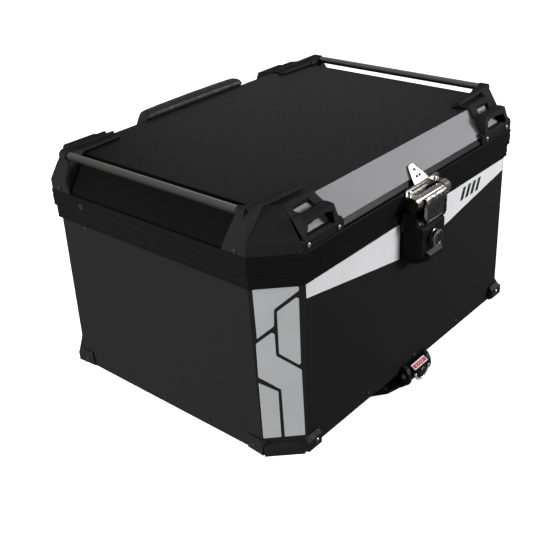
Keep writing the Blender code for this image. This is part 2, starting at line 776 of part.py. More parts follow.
def latch_pin():
    profile = ((-27.2, 1.6), (27.2, 1.6))
    turned("latch_pin", "x", (LATCH_PIN_Y, LATCH_PIN_Z), profile, steel("latch_pin"), 16)


def lock_ring():
    profile = (
        (-225.0, 9.1), (-225.0, 11.6), (-226.2, 11.6), (-227.0, 10.2), (-230.6, 10.2),
        (-231.2, 10.6), (-232.0, 10.2), (-232.2, 9.1),
    )
    turned("lock_ring", "y", (0.0, LOCK_Z), profile, chrome("lock_ring"), 32, True)


def latch_lock():
    origin = (0.0, -226.0, LOCK_Z)
    profile = ((-231.6, 7.4), (-230.8, 8.7), (-225.3, 8.7), (-225.3, 6.0), (-212.6, 6.0))
    core = turned("tmp", "y", (0.0, LOCK_Z), profile, None, 28)
    slot = box(-0.8, 0.8, -234.0, -229.6, LOCK_Z - 4.2, LOCK_Z + 4.2)
    build("latch_lock", chrome("latch_lock"), [core], [slot], origin)


def latch_lever():
    """Handle plate that swings out on its pin; its top curls back before the roller."""
    origin = (0.0, LATCH_PIN_Y, LATCH_PIN_Z)
    side = (
        (-224.2, 249.0), (-224.2, 283.6), (-225.2, 283.4), (-226.6, 280.8), (-227.8, 276.8),
        (-228.2, 272.6), (-228.2, 252.4), (-226.8, 250.0),
    )
    pieces = [
        hull([(x, y, z) for x in (-22.3, 22.3) for y, z in side]),
        rod("x", (LATCH_PIN_Y, LATCH_PIN_Z), -22.3, 22.3, 3.2, 20),
        box(-22.3, 22.3, -225.0, -221.5, 249.0, 254.0),
    ]
    cutters = [
        rod("x", (LATCH_PIN_Y, LATCH_PIN_Z), -25.0, 25.0, 1.9, 16),
        hull([
            (x, y, z)
            for x in (-17.6, 19.6)
            for y, z in ((-232.0, 251.6), (-232.0, 271.6), (-227.2, 252.4), (-227.2, 270.8))
        ]),
    ]
    build("latch_lever", chrome("latch_lever"), pieces, cutters, origin)


def hinge(tag, s, lid):
    """Three-knuckle hinge on the back of the rim."""
    cx = HINGE_X * s
    centre = (HINGE_Y, HINGE_Z)
    leaf = [box(cx - 30.0, cx + 30.0, 202.9, 204.9, 252.6, 267.0)]
    for k in (-1.0, 1.0):
        leaf.append(rod("x", centre, cx + 12.0 * k, cx + 30.0 * k, 4.8, 24))
        leaf.append(hull([
            (x, y, z)
            for x in (cx + 12.0 * k, cx + 30.0 * k)
            for y, z in ((203.4, 258.0), (203.4, 266.5), (208.5, 265.5), (212.0, 265.0))
        ]))
    bore = rod("x", centre, cx - 32.0, cx + 32.0, 2.6, 20)
    build("hinge_base_leaf_" + tag, steel("hinge_base_leaf_" + tag), leaf, [bore])
    upper = [
        box(cx - 30.0, cx + 30.0, 205.3, 207.0, 274.8, 290.0),
        rod("x", centre, cx - 11.6, cx + 11.6, 4.8, 24),
        hull([
            (x, y, z)
            for x in (cx - 11.6, cx + 11.6)
            for y, z in ((205.3, 277.5), (206.8, 278.5), (205.4, 273.0), (209.4, 271.0), (212.0, 274.0))
        ]),
    ]
    bore = rod("x", centre, cx - 32.0, cx + 32.0, 2.6, 20)
    name = "hinge_lid_leaf_" + tag
    hang(build(name, steel(name), upper, [bore]), lid)
    pin = "hinge_pin_" + tag
    profile = ((cx - 30.5, 2.3), (cx + 30.5, 2.3))
    turned(pin, "x", centre, profile, steel(pin), 20)


def arm(start, end, x0, x1, radius):
    """Flat bar between two pivots with round ends, lying in a plane of constant x."""
    points = []
    for y, z in (start, end):
        for k in range(16):
            a = 2.0 * math.pi * k / 16
            for x in (x0, x1):
                points.append((x, y + radius * math.cos(a), z + radius * math.sin(a)))
    return hull(points)


def stay(tag, s, lid):
    """Two flat arms that fold along the side wall and hold the lid when it is open."""
    name = "stay_lower_" + tag
    pieces = [
        arm(STAY_BASE, STAY_KNEE, 253.6 * s, 255.4 * s, 5.0),
        rod("x", STAY_BASE, 255.0 * s, 257.6 * s, 3.6, 20),
    ]
    hole = rod("x", STAY_KNEE, 252.0 * s, 257.0 * s, 2.9, 16)
    origin = (254.5 * s, STAY_BASE[0], STAY_BASE[1])
    build(name, steel(name), pieces, [hole], origin)
    name = "stay_upper_" + tag
    pieces = [
        arm(STAY_LID, STAY_KNEE, 251.4 * s, 253.2 * s, 5.0),
        rod("x", STAY_LID, 253.0 * s, 262.9 * s, 3.0, 20),
        rod("x", STAY_KNEE, 253.0 * s, 256.4 * s, 2.0, 16),
    ]
    origin = (252.3 * s, STAY_LID[0], STAY_LID[1])
    hang(build(name, steel(name), pieces, (), origin), lid)


def lid_axis():
    empty = bpy.data.objects.new("lid_axis", None)
    empty.location = (0.0, HINGE_Y * MM, HINGE_Z * MM)
    bpy.context.scene.collection.objects.link(empty)
    return empty


def hang(obj, lid):
    """Parent a lid piece to the lid's hinge axis without moving it."""
    obj.parent = lid
    obj.location = Vector(obj.location) - Vector(lid.location)
    return obj


def main():
    clear_scene()
    lid = lid_axis()
    wall_shell()
    floor_pan()
    base_rim()
    gasket()
    base_plate()
    release_bracket()
    release_axle()
    release_lever()
    release_lock()
    release_pawl()
    latch_housing()
    latch_pin()
    lock_ring()
    latch_lock()
    latch_lever()
    lid_rim(lid)
    lid_shell(lid)
    front_strip(lid)
    catch_plate(lid)
    catch_roller(lid)
    backrest_pad(lid)
    for tag, sx, sy in (("fl", 1.0, 1.0), ("fr", -1.0, 1.0), ("bl", 1.0, -1.0), ("br", -1.0, -1.0)):
        corner_guard(tag, sx, sy)
        bumper(tag, sx, sy, lid)
    for tag, s in (("l", -1.0), ("r", 1.0)):
        rear_hook(tag, s)
        rail(tag, s, lid)
        hinge(tag, s, lid)
        stay(tag, s, lid)


main()
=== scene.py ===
"""Looks of the motorcycle top case: materials, decals, rivets, padded backrest, light and camera."""
import math

import bmesh
import bpy
from mathutils import Matrix, Vector


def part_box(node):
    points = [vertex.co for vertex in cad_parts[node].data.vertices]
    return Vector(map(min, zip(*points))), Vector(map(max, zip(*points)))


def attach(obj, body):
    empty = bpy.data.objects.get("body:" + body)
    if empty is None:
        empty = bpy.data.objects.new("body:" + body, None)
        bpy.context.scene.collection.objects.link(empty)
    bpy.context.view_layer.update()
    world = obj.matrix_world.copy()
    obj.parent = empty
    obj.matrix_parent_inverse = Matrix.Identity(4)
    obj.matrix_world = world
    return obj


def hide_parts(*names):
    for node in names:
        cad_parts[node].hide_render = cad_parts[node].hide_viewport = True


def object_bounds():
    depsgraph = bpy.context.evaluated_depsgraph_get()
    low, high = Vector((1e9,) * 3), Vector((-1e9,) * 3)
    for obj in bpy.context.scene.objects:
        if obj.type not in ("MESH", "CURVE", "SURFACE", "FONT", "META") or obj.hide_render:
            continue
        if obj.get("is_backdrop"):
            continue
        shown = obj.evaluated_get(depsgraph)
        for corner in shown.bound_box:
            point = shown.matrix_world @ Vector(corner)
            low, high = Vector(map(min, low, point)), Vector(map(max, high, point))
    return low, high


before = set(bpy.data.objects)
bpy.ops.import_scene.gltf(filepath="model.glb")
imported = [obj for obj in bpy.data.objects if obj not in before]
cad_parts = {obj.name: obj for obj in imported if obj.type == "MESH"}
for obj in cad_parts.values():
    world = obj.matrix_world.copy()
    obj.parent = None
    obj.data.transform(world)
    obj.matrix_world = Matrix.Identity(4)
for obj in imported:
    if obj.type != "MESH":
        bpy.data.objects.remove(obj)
CAD_BOX = [list(corner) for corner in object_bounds()]

MM = 0.001
FILM = 0.25
FILM_GAP = 0.1


# ---------------------------------------------------------------- node helpers


class Shader:
    """A material with one Principled BSDF and short calls to add nodes to it."""

    def __init__(self, name, rough, metal=0.0, specular=0.5):
        self.mat = bpy.data.materials.new(name)
        self.mat.use_nodes = True
        self.tree = self.mat.node_tree
        self.bsdf = self.tree.nodes["Principled BSDF"]
        self.put("Roughness", rough)
        self.put("Metallic", metal)
        self.put("Specular IOR Level", specular)
        self.coords = self.tree.nodes.new("ShaderNodeTexCoord")

    def put(self, socket, value):
        self.bsdf.inputs[socket].default_value = value

    def link(self, out, socket):
        self.tree.links.new(out, self.bsdf.inputs[socket])

    def noise(self, scale, detail=3.0, stretch=(1.0, 1.0, 1.0), rough=0.55):
        """Noise over the object's own metres; stretch squeezes it along an axis."""
        mapping = self.tree.nodes.new("ShaderNodeMapping")
        mapping.inputs["Scale"].default_value = stretch
        self.tree.links.new(self.coords.outputs["Object"], mapping.inputs["Vector"])
        node = self.tree.nodes.new("ShaderNodeTexNoise")
        node.inputs["Scale"].default_value = scale
        node.inputs["Detail"].default_value = detail
        node.inputs["Roughness"].default_value = rough
        self.tree.links.new(mapping.outputs["Vector"], node.inputs["Vector"])
        return node.outputs["Fac"]

    def cells(self, scale):
        """Distance to the nearest of scattered points: a pebbled pattern."""
        node = self.tree.nodes.new("ShaderNodeTexVoronoi")
        node.inputs["Scale"].default_value = scale
        self.tree.links.new(self.coords.outputs["Object"], node.inputs["Vector"])
        return node.outputs["Distance"]

    def spread(self, fac, low, high, start=0.35, stop=0.65):
        """Maps start..stop of a value to low..high."""
        node = self.tree.nodes.new("ShaderNodeMapRange")
        node.inputs["From Min"].default_value = start
        node.inputs["From Max"].default_value = stop
        node.inputs["To Min"].default_value = low
        node.inputs["To Max"].default_value = high
        self.tree.links.new(fac, node.inputs["Value"])
        return node.outputs["Result"]

    def colours(self, fac, first, second, start=0.35, stop=0.65):
        """Base colour from first to second as a value goes from start to stop."""
        ramp = self.tree.nodes.new("ShaderNodeValToRGB")
        ramp.color_ramp.elements[0].position = start
        ramp.color_ramp.elements[1].position = stop
        ramp.color_ramp.elements[0].color = (*first, 1.0)
        ramp.color_ramp.elements[1].color = (*second, 1.0)
        self.tree.links.new(fac, ramp.inputs["Fac"])
        self.link(ramp.outputs["Color"], "Base Color")

    def along(self, axis, start, stop):
        """0 to 1 along an axis between two places, in metres."""
        split = self.tree.nodes.new("ShaderNodeSeparateXYZ")
        self.tree.links.new(self.coords.outputs["Object"], split.inputs["Vector"])
        return self.spread(split.outputs[axis], 0.0, 1.0, start, stop)

    def bump(self, *layers):
        """Bump from (height, strength, distance in metres) layers, stacked."""
        normal = None
        for height, strength, distance in layers:
            node = self.tree.nodes.new("ShaderNodeBump")
            node.inputs["Strength"].default_value = strength
            node.inputs["Distance"].default_value = distance
            self.tree.links.new(height, node.inputs["Height"])
            if normal:
                self.tree.links.new(normal, node.inputs["Normal"])
            normal = node.outputs["Normal"]
        self.link(normal, "Normal")


def powder_coat(name, tone, specular, rough=0.5):
    """Fine-textured matt black powder coat with a slight orange peel."""
    s = Shader(name, rough, 0.0, specular)
    speck = s.noise(1500.0, 3.0)
    s.colours(speck, (tone * 0.9,) * 3, (tone * 1.1,) * 3)
    s.link(s.spread(s.noise(260.0, 4.0), rough - 0.03, rough + 0.04), "Roughness")
    s.bump((s.noise(1400.0, 2.0), 0.08, 0.0001), (s.noise(420.0, 2.0), 0.03, 0.0002))
    return s.mat


def grained_plastic(name, tone, specular, rough=0.55):
    """Moulded plastic with a leathery grain."""
    s = Shader(name, rough, 0.0, specular)
    grain = s.cells(1300.0)
    s.colours(grain, (tone * 0.86,) * 3, (tone * 1.12,) * 3, 0.0, 0.7)
    s.link(s.spread(s.noise(180.0, 3.0), rough - 0.06, rough + 0.07), "Roughness")
    s.bump((grain, 0.16, 0.0002), (s.noise(500.0, 3.0), 0.08, 0.0002))
    return s.mat


def brushed(name, colour, rough, stretch, specular=0.5):
    """Brushed metal: fine scratches squeezed along one axis."""
    s = Shader(name, rough, 1.0, specular)
    lines = s.noise(700.0, 4.0, stretch)
    s.colours(lines, [c * 0.82 for c in colour], [min(1.0, c * 1.1) for c in colour], 0.3, 0.7)
    s.link(s.spread(lines, rough - 0.08, rough + 0.12), "Roughness")
    s.bump((lines, 0.12, 0.0001), (s.noise(40.0, 2.0), 0.02, 0.0005))
    return s.mat


def polished(name, colour, rough, metal=1.0):
    """Polished plating with faint smudges and hairlines."""
    s = Shader(name, rough, metal, 0.5)
    smudge = s.noise(70.0, 4.0)
    s.colours(smudge, [c * 0.9 for c in colour], colour)
    s.link(s.spread(s.noise(150.0, 5.0), rough * 0.7, rough * 1.7), "Roughness")
    s.bump((s.noise(90.0, 2.0), 0.02, 0.0002), (s.noise(900.0, 3.0), 0.01, 0.0001))
    return s.mat


def satin_film(name):
    """Silver reflective film: satin, with fine glass-bead sparkle."""
    s = Shader(name, 0.5, 0.0, 0.25)
    beads = s.cells(2600.0)
    s.colours(s.noise(2200.0, 2.0), (0.27, 0.27, 0.285), (0.31, 0.31, 0.325))
    s.link(s.spread(s.noise(300.0, 2.0), 0.44, 0.56), "Roughness")
    s.bump((beads, 0.2, 0.0001), (s.noise(900.0, 1.0), 0.05, 0.0001))
    return s.mat


def printed_film(name, colour, rough=0.45):
    """Printed vinyl film."""
    s = Shader(name, rough, 0.0, 0.4)
    s.colours(s.noise(30.0, 3.0), [c * 0.95 for c in colour], colour)
    s.link(s.spread(s.noise(90.0, 3.0), rough - 0.08, rough + 0.1), "Roughness")
    s.bump((s.noise(1600.0, 2.0), 0.06, 0.0001), (s.noise(40.0, 1.0), 0.02, 0.0004))
    return s.mat


def soft_rubber(name, tone):
    """Matt black seal rubber."""
    s = Shader(name, 0.75, 0.0, 0.35)
    s.colours(s.noise(60.0, 3.0), (tone * 0.8,) * 3, (tone * 1.2,) * 3)
    s.link(s.spread(s.noise(200.0, 3.0), 0.66, 0.85), "Roughness")
    s.bump((s.noise(900.0, 3.0), 0.15, 0.0002))
    return s.mat


def leather(name, tone):
    """Synthetic leather: pebbled grain with soft creases."""
    s = Shader(name, 0.55, 0.0, 0.35)
    grain = s.cells(520.0)
    s.colours(grain, (tone * 0.7,) * 3, (tone * 1.2,) * 3, 0.0, 0.6)
    s.link(s.spread(s.noise(90.0, 3.0), 0.46, 0.66), "Roughness")
    s.bump((grain, 0.35, 0.0004), (s.noise(30.0, 3.0), 0.25, 0.001))
    return s.mat


def sheet_metal(name, colour, rough):
    """Bare rolled aluminium sheet."""
    s = Shader(name, rough, 0.9, 0.5)
    roll = s.noise(420.0, 3.0, (0.08, 1.0, 1.0))
    s.colours(roll, [c * 0.85 for c in colour], colour)
    s.link(s.spread(roll, rough - 0.06, rough + 0.1), "Roughness")
    s.bump((roll, 0.08, 0.0001))
    return s.mat


def capped_lock(name, edge):
    """Black moulded body that turns to bright plating past a place along Y."""
    s = Shader(name, 0.2, 1.0, 0.5)
    front = s.along("Y", edge + 0.0001, edge - 0.0001)
    s.colours(front, (0.012, 0.012, 0.013), (0.80, 0.79, 0.78), 0.4, 0.6)
    s.link(s.spread(s.noise(400.0, 3.0), 0.14, 0.26), "Roughness")
    s.link(s.spread(front, 0.1, 1.0, 0.0, 1.0), "Metallic")
    s.bump((s.noise(900.0, 3.0), 0.04, 0.0001))
    return s.mat


WALL_COAT = powder_coat("wall_coat", 0.012, 0.12)
# The lid's coat is the wall's powder coat made about three times darker: painted shade on the lid's slopes
# and top.
LID_COAT_PAINTED_SHADE = powder_coat("lid_coat_painted_shade", 0.004, 0.07, 0.4)
RIM_COAT = powder_coat("rim_coat", 0.006, 0.08, 0.42)
BUMPER_PLASTIC = grained_plastic("bumper_plastic", 0.012, 0.08)
GUARD_PLASTIC = grained_plastic("guard_plastic", 0.012, 0.12)
HOUSING_PLASTIC = grained_plastic("housing_plastic", 0.006, 0.16, 0.36)
PLATE_PLASTIC = grained_plastic("plate_plastic", 0.006, 0.12)
RAIL_STEEL = brushed("rail_steel", (0.46, 0.44, 0.41), 0.36, (1.0, 0.02, 1.0))
ZINC_STEEL = brushed("zinc_steel", (0.42, 0.43, 0.45), 0.38, (0.05, 1.0, 1.0))
SCREW_STEEL = polished("screw_steel", (0.42, 0.38, 0.35), 0.3)
CHROME = polished("bright_plating", (0.74, 0.71, 0.68), 0.08)
DARK_CHROME = polished("smoked_plating", (0.22, 0.21, 0.205), 0.18)
# Pale, partly metallic grey: painted highlight on the release tongue's round edge, and the plating of the
# release washers.
HIGHLIGHT_AND_PLATING = polished("painted_highlight_and_plating", (0.72, 0.71, 0.70), 0.2, 0.35)
# Dark plating on the key locks, much darker than the bright lock ring.
DARK_LOCK_PLATING = polished("dark_lock_plating", (0.10, 0.10, 0.105), 0.3)
BLACK_RIVET = polished("black_rivet", (0.02, 0.02, 0.022), 0.4, 0.3)
SILVER_FILM = satin_film("silver_film_look")
WHITE_FILM = printed_film("white_film", (0.88, 0.88, 0.90))
GREY_FILM = printed_film("grey_film", (0.35, 0.354, 0.36))
BLACK_FILM = printed_film("black_film", (0.012, 0.012, 0.013))
RED_FILM = printed_film("red_film", (0.55, 0.03, 0.05))
SEAL = soft_rubber("seal_look", 0.012)
PAD = leather("pad_leather", 0.014)
FLOOR_METAL = sheet_metal("floor_metal", (0.55, 0.56, 0.58), 0.4)
LATCH_LOCK_LOOK = capped_lock("latch_lock_look", -0.2292)

NODE_LOOKS = (
    (WALL_COAT, ("wall_shell",)),
    (LID_COAT_PAINTED_SHADE, ("lid_shell",)),
    (RIM_COAT, ("base_rim", "lid_rim")),
    (FLOOR_METAL, ("floor_pan",)),
    (SEAL, ("gasket",)),
    (SILVER_FILM, ("front_strip",)),
    (BUMPER_PLASTIC, ("bumper_fl", "bumper_fr", "bumper_bl", "bumper_br")),
    (GUARD_PLASTIC, ("corner_guard_fl", "corner_guard_fr", "corner_guard_bl", "corner_guard_br")),
    (HOUSING_PLASTIC, ("latch_housing", "release_bracket", "release_lever")),
    (PLATE_PLASTIC, ("base_plate",)),
    (RAIL_STEEL, ("rail_l", "rail_r")),
    (CHROME, ("catch_plate", "catch_roller")),
    (LATCH_LOCK_LOOK, ("lock_ring",)),
    (DARK_LOCK_PLATING, ("release_lock", "latch_lock")),
    (SCREW_STEEL, ("release_axle",)),
    (DARK_CHROME, ("latch_lever",)),
    (ZINC_STEEL, ("rear_hook_l", "rear_hook_r", "release_pawl", "latch_pin")),
    (ZINC_STEEL, ("hinge_pin_l", "hinge_pin_r", "hinge_base_leaf_l", "hinge_base_leaf_r")),
    (ZINC_STEEL, ("hinge_lid_leaf_l", "hinge_lid_leaf_r")),
    (ZINC_STEEL, ("stay_lower_l", "stay_lower_r", "stay_upper_l", "stay_upper_r")),
)


def dress_frame():
    """Puts each look on its CAD nodes, the screws included."""
    for look, names in NODE_LOOKS:
        for name in names:
            wear(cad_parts[name], look)
    for name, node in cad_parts.items():
        if "_screw_" in name:
            wear(node, SCREW_STEEL)


def wear(obj, look):
    obj.data.materials.clear()
    obj.data.materials.append(look)


# ---------------------------------------------------------------- mesh helpers


def piece(name, verts, faces, look, body, smooth=False):
    """A new object from millimetre vertices, riding on a body."""
    mesh = bpy.data.meshes.new(name)
    mesh.from_pydata([[c * MM for c in v] for v in verts], [], faces)
    bm = bmesh.new()
    bm.from_mesh(mesh)
    bmesh.ops.recalc_face_normals(bm, faces=bm.faces)
    bm.to_mesh(mesh)
    bm.free()
    for poly in mesh.polygons:
        poly.use_smooth = smooth
    obj = bpy.data.objects.new(name, mesh)
    bpy.context.scene.collection.objects.link(obj)
    obj.data.materials.append(look)
    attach(obj, body)
    return obj


def rounded(outline, radius, steps=4):
    """2-D outline with every corner rounded by an arc-like curve."""
    result = []
    count = len(outline)
    for i, corner in enumerate(outline):
        here = Vector(corner)
        before = Vector(outline[i - 1]) - here
        after = Vector(outline[(i + 1) % count]) - here
        reach = min(radius, before.length * 0.45, after.length * 0.45)
        start = here + before.normalized() * reach
        stop = here + after.normalized() * reach
        for k in range(steps + 1):
            t = k / steps
            result.append(start * (1 - t) ** 2 + here * 2 * t * (1 - t) + stop * t * t)
    return result


def film(name, outline, place, look, body, radius=1.5, thick=FILM, gap=FILM_GAP):
    """Thin sticker: place(u, v, lift) turns outline points into millimetre space."""
    flat = rounded(outline, radius)
    count = len(flat)
    verts = [place(u, v, gap) for u, v in flat] + [place(u, v, gap + thick) for u, v in flat]
    faces = [tuple(range(count)), tuple(range(count, 2 * count))]
    faces += [(i, (i + 1) % count, count + (i + 1) % count, count + i) for i in range(count)]
    return piece(name, verts, faces, look, body)


def skin(loops, sides, closed=False):
    """Quads between neighbouring loops of vertices, and from the last loop to the first if closed."""
    faces = []
    for i in range(loops if closed else loops - 1):
        j = (i + 1) % loops
        for k in range(sides):
            m = (k + 1) % sides
            faces.append((i * sides + k, i * sides + m, j * sides + m, j * sides + k))
    return faces


def dome(name, centre, out, radius, height, look, body, socket=0.0, sides=20):
    """Button head on a surface: a low dome, with an optional round recess on top."""
    axis = Vector(out).normalized()
    side = axis.orthogonal().normalized()
    other = axis.cross(side)
    profile = [(radius * 0.96, 0.05), (radius, 0.18 * height)]
    for k in range(1, 6):
        a = k / 6 * math.pi / 2
        profile.append((radius * math.cos(a), height * (0.18 + 0.82 * math.sin(a))))
    if socket:
        profile += [(socket, height), (socket * 0.92, height * 0.55)]
    verts = []
    for r, h in profile:
        for k in range(sides):
            a = 2 * math.pi * k / sides
            verts.append(Vector(centre) + axis * h + (side * math.cos(a) + other * math.sin(a)) * r)
    faces = [tuple(range(sides)), tuple(len(verts) - sides + k for k in range(sides))]
    faces += skin(len(profile), sides)
    obj = piece(name, verts, faces, look, body, True)
    if socket:
        for poly in obj.data.polygons:
            arm = poly.center / MM - Vector(centre)
            rise = arm.dot(axis)
            if rise < height * 0.9 and (arm - axis * rise).length < socket:
                poly.use_smooth = False
    return obj


def tube(name, path, radius, look, body, sides=8):
    """Round bar along a path that lies in a plane across Y."""
    verts = []
    for i, here in enumerate(path):
        ahead = Vector(path[min(i + 1, len(path) - 1)]) - Vector(path[max(i - 1, 0)])
        out = ahead.normalized().cross(Vector((0.0, 1.0, 0.0)))
        for k in range(sides):
            a = 2 * math.pi * k / sides
            verts.append(Vector(here) + out * radius * math.cos(a) + Vector((0.0, radius * math.sin(a), 0.0)))
    faces = [tuple(range(sides)), tuple(len(verts) - sides + k for k in range(sides))]
    faces += skin(len(path), sides)
    return piece(name, verts, faces, look, body, True)


def ring(name, centre, outer, inner, thick, look, body, sides=32):
    """Flat washer on an axle along X."""
    verts = []
    for x, radius in ((-0.5, inner), (-0.5, outer), (0.5, outer), (0.5, inner)):
        for k in range(sides):
            a = 2 * math.pi * k / sides
            verts.append((
                centre[0] + x * thick,
                centre[1] + radius * math.cos(a),
                centre[2] + radius * math.sin(a),
            ))
    return piece(name, verts, skin(4, sides, closed=True), look, body)


# ---------------------------------------------------------------- the wall's decals

WALL_LEAN_Z = 31.5
DECAL_ROUND = 1.2


WALL_RISE = 220.0
WALL_FOOT = (262.4, 200.2, 36.8)
WALL_FLARE = (2.3, 0.7, 6.8)


def wall_corner(z):
    """Half length, half width and corner cut of the wall's outside at a height."""
    t = (z - WALL_LEAN_Z) / WALL_RISE
    return tuple(foot + flare * t for foot, flare in zip(WALL_FOOT, WALL_FLARE))


def on_front(u, v, lift):
    return (u, -wall_corner(v)[1] - lift, v)


def on_corner(side):
    """Placer for the front corner face at side * X: u runs 0 to CORNER_RUN from side wall to front wall."""

    def place(u, v, lift):
        hx, hy, cut = wall_corner(v)
        share = u / CORNER_RUN
        x = -hx + cut * share
        y = -hy + cut * (1.0 - share)
        step = lift / math.sqrt(2.0)
        return ((x - step) * -side, y - step, v)

    return place


CORNER_RUN = 43.0


CORNER_SHAPES = (
    ((0.085, 250.2), (0.885, 250.2), (0.895, 245.0), (0.44, 224.0), (0.42, 203.0), (0.09, 188.5)),
    ((0.49, 220.8), (0.84, 236.5), (0.89, 235.5), (0.897, 152.0), (0.86, 150.5), (0.485, 167.0)),
    (
        (0.06, 182.0), (0.37, 195.0), (0.423, 193.0), (0.427, 164.5), (0.91, 143.5),
        (0.955, 52.3), (0.505, 52.3), (0.487, 119.0), (0.047, 138.0),
    ),
    ((0.042, 130.4), (0.422, 116.8), (0.428, 52.3), (0.03, 52.3)),
)


def corner_decals():
    """Four grey shapes on each front corner; a shape's points are (share of the corner's run, height)."""
    for tag, side in (("l", 1.0), ("r", -1.0)):
        for k, shape in enumerate(CORNER_SHAPES):
            outline = [(share * CORNER_RUN, v) for share, v in shape]
            name = "corner_decal_%s_%d" % (tag, k + 1)
            film(name, outline, on_corner(side), GREY_FILM, "case", DECAL_ROUND)


def front_decals():
    """White wedge each side of the latch, with generic slanted bars on the right."""
    left = ((-219.5, 250.5), (-38.5, 250.5), (-38.5, 202.9), (-219.5, 233.5))
    right = [(-u, v) for u, v in left]
    film("front_decal_l", left, on_front, WHITE_FILM, "case", DECAL_ROUND)
    film("front_decal_r", right, on_front, WHITE_FILM, "case", DECAL_ROUND)
    for k in range(4):
        start = 104.0 + 13.0 * k
        bar = ((start, 228.0), (start + 7.5, 228.0), (start + 14.5, 245.0), (start + 7.0, 245.0))
        film(
            "front_bar_%d" % (k + 1), bar, on_front, BLACK_FILM, "case",
            0.8, 0.12, FILM_GAP + FILM + 0.05,
        )


# ---------------------------------------------------------------- rivets and screws


RIVET_Z = 39.0
RIVET_GAP = 0.1
FRONT_RIVETS_X = (-103.0, 4.0, 112.0)
SIDE_RIVETS_Y = (-75.0, 0.0, 75.0)
STAY_RIVET_R = 4.2


def floor_rivet(name, centre, out):
    dome(name, centre, out, 3.2, 1.4, BLACK_RIVET, "case")


def rivets():
    """Black rivets of the floor pan through each wall, and the steel rivets of the lid stays."""
    half_x, half_y, _ = wall_corner(RIVET_Z)
    for k, x in enumerate(FRONT_RIVETS_X):
        for tag, y in (("f", -1.0), ("b", 1.0)):
            floor_rivet("floor_rivet_%s%d" % (tag, k), (x, y * (half_y + RIVET_GAP), RIVET_Z), (0, y, 0))
    for k, y in enumerate(SIDE_RIVETS_Y):
        for tag, x in (("l", -1.0), ("r", 1.0)):
            floor_rivet("floor_rivet_%s%d" % (tag, k), (x * (half_x + RIVET_GAP), y, RIVET_Z), (x, 0, 0))
    for tag, x in (("l", -1.0), ("r", 1.0)):
        dome(
            "stay_rivet_lid_" + tag, (x * 270.1, 107.3, 280.5), (x, 0, 0), STAY_RIVET_R, 0.9,
            SCREW_STEEL, "lid", 1.4,
        )
        dome(
            "stay_rivet_case_" + tag, (x * 264.8, 112.7, 247.0), (x, 0, 0), STAY_RIVET_R, 1.8,
            SCREW_STEEL, "case", 1.4,
        )


def guard_screws():
    """Two screws in each corner guard, one on the front or back face and one on the side."""
    for tag, sx, sy in (("fl", -1, -1), ("fr", 1, -1), ("bl", -1, 1), ("br", 1, 1)):
        lo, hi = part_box("corner_guard_" + tag)
        face_y = (lo[1] if sy < 0 else hi[1]) / MM
        face_x = (lo[0] if sx < 0 else hi[0]) / MM
        dome(
            "guard_screw_%s_1" % tag, (sx * 216.0, face_y - 0.15 * sy, 41.5), (0, sy, 0), 3.6, 2.2,
            SCREW_STEEL, "case", 1.5,
        )
        dome(
            "guard_screw_%s_2" % tag, (face_x - 1.6 * sx, sy * 152.0, 39.5), (sx, 0, 0), 3.6, 2.2,
            SCREW_STEEL, "case", 1.5,
        )


def catch_rivets():
    """Two rivets through the catch plate."""
    for tag, x in (("l", -28.4), ("r", 28.4)):
        dome(
            "catch_rivet_" + tag, (x, -207.15, 288.6), (0, -1, 0), 3.2, 1.8,
            CHROME, "lid",
        )


# ---------------------------------------------------------------- marks on the latch and release


def catch_mark():
    """Two plain slanted blocks and a screw on the catch tab."""
    for k in range(2):
        left = -6.2 + 6.2 * k
        block = ((left, 2.2), (left + 4.4, 2.2), (left + 6.0, 5.6), (left + 1.6, 5.6))
        film("catch_block_%d" % (k + 1), block, on_tab, BLACK_FILM, "lid", 0.4, 0.1, 0.3)
    dome(
        "catch_screw", on_tab(0.0, 12.0, 0.2), (0.0, -TAB_RISE, TAB_RUN), 2.6, 0.9,
        SCREW_STEEL, "lid", 1.2,
    )


TAB_FOOT = (-203.0, 297.4)
TAB_RUN = 0.683
TAB_RISE = 0.730


def on_tab(u, v, lift):
    """Placer on the leaning tab: v runs up the slope from its foot."""
    return (u, TAB_FOOT[0] + TAB_RUN * v - TAB_RISE * lift, TAB_FOOT[1] + TAB_RISE * v + TAB_RUN * lift)


def handle_mark():
    """Dark arrowhead in the recess of the latch handle."""
    for tag, side in (("l", -1.0), ("r", 1.0)):
        arm = ((10.0 * side, 268.6), (4.4 * side, 268.6), (0.0, 261.4), (0.0, 255.6))
        film("handle_mark_" + tag, arm, on_handle, BLACK_RIVET, "latch_lever", 0.4, 0.3, 0.02)


def on_handle(u, v, lift):
    return (u + 1.0, -227.2 - lift, v)


HEAD_TOP = (-207.4, 36.8)
HEAD_LOW = (-216.0, 31.4)


def on_head(u, v, lift):
    """Placer on the paddle's tilted head: v runs up the slope from its lower edge."""
    run = math.hypot(HEAD_TOP[0] - HEAD_LOW[0], HEAD_TOP[1] - HEAD_LOW[1])
    dy = (HEAD_TOP[0] - HEAD_LOW[0]) / run
    dz = (HEAD_TOP[1] - HEAD_LOW[1]) / run
    return (u, HEAD_LOW[0] + dy * v - dz * lift, HEAD_LOW[1] + dz * v + dy * lift)


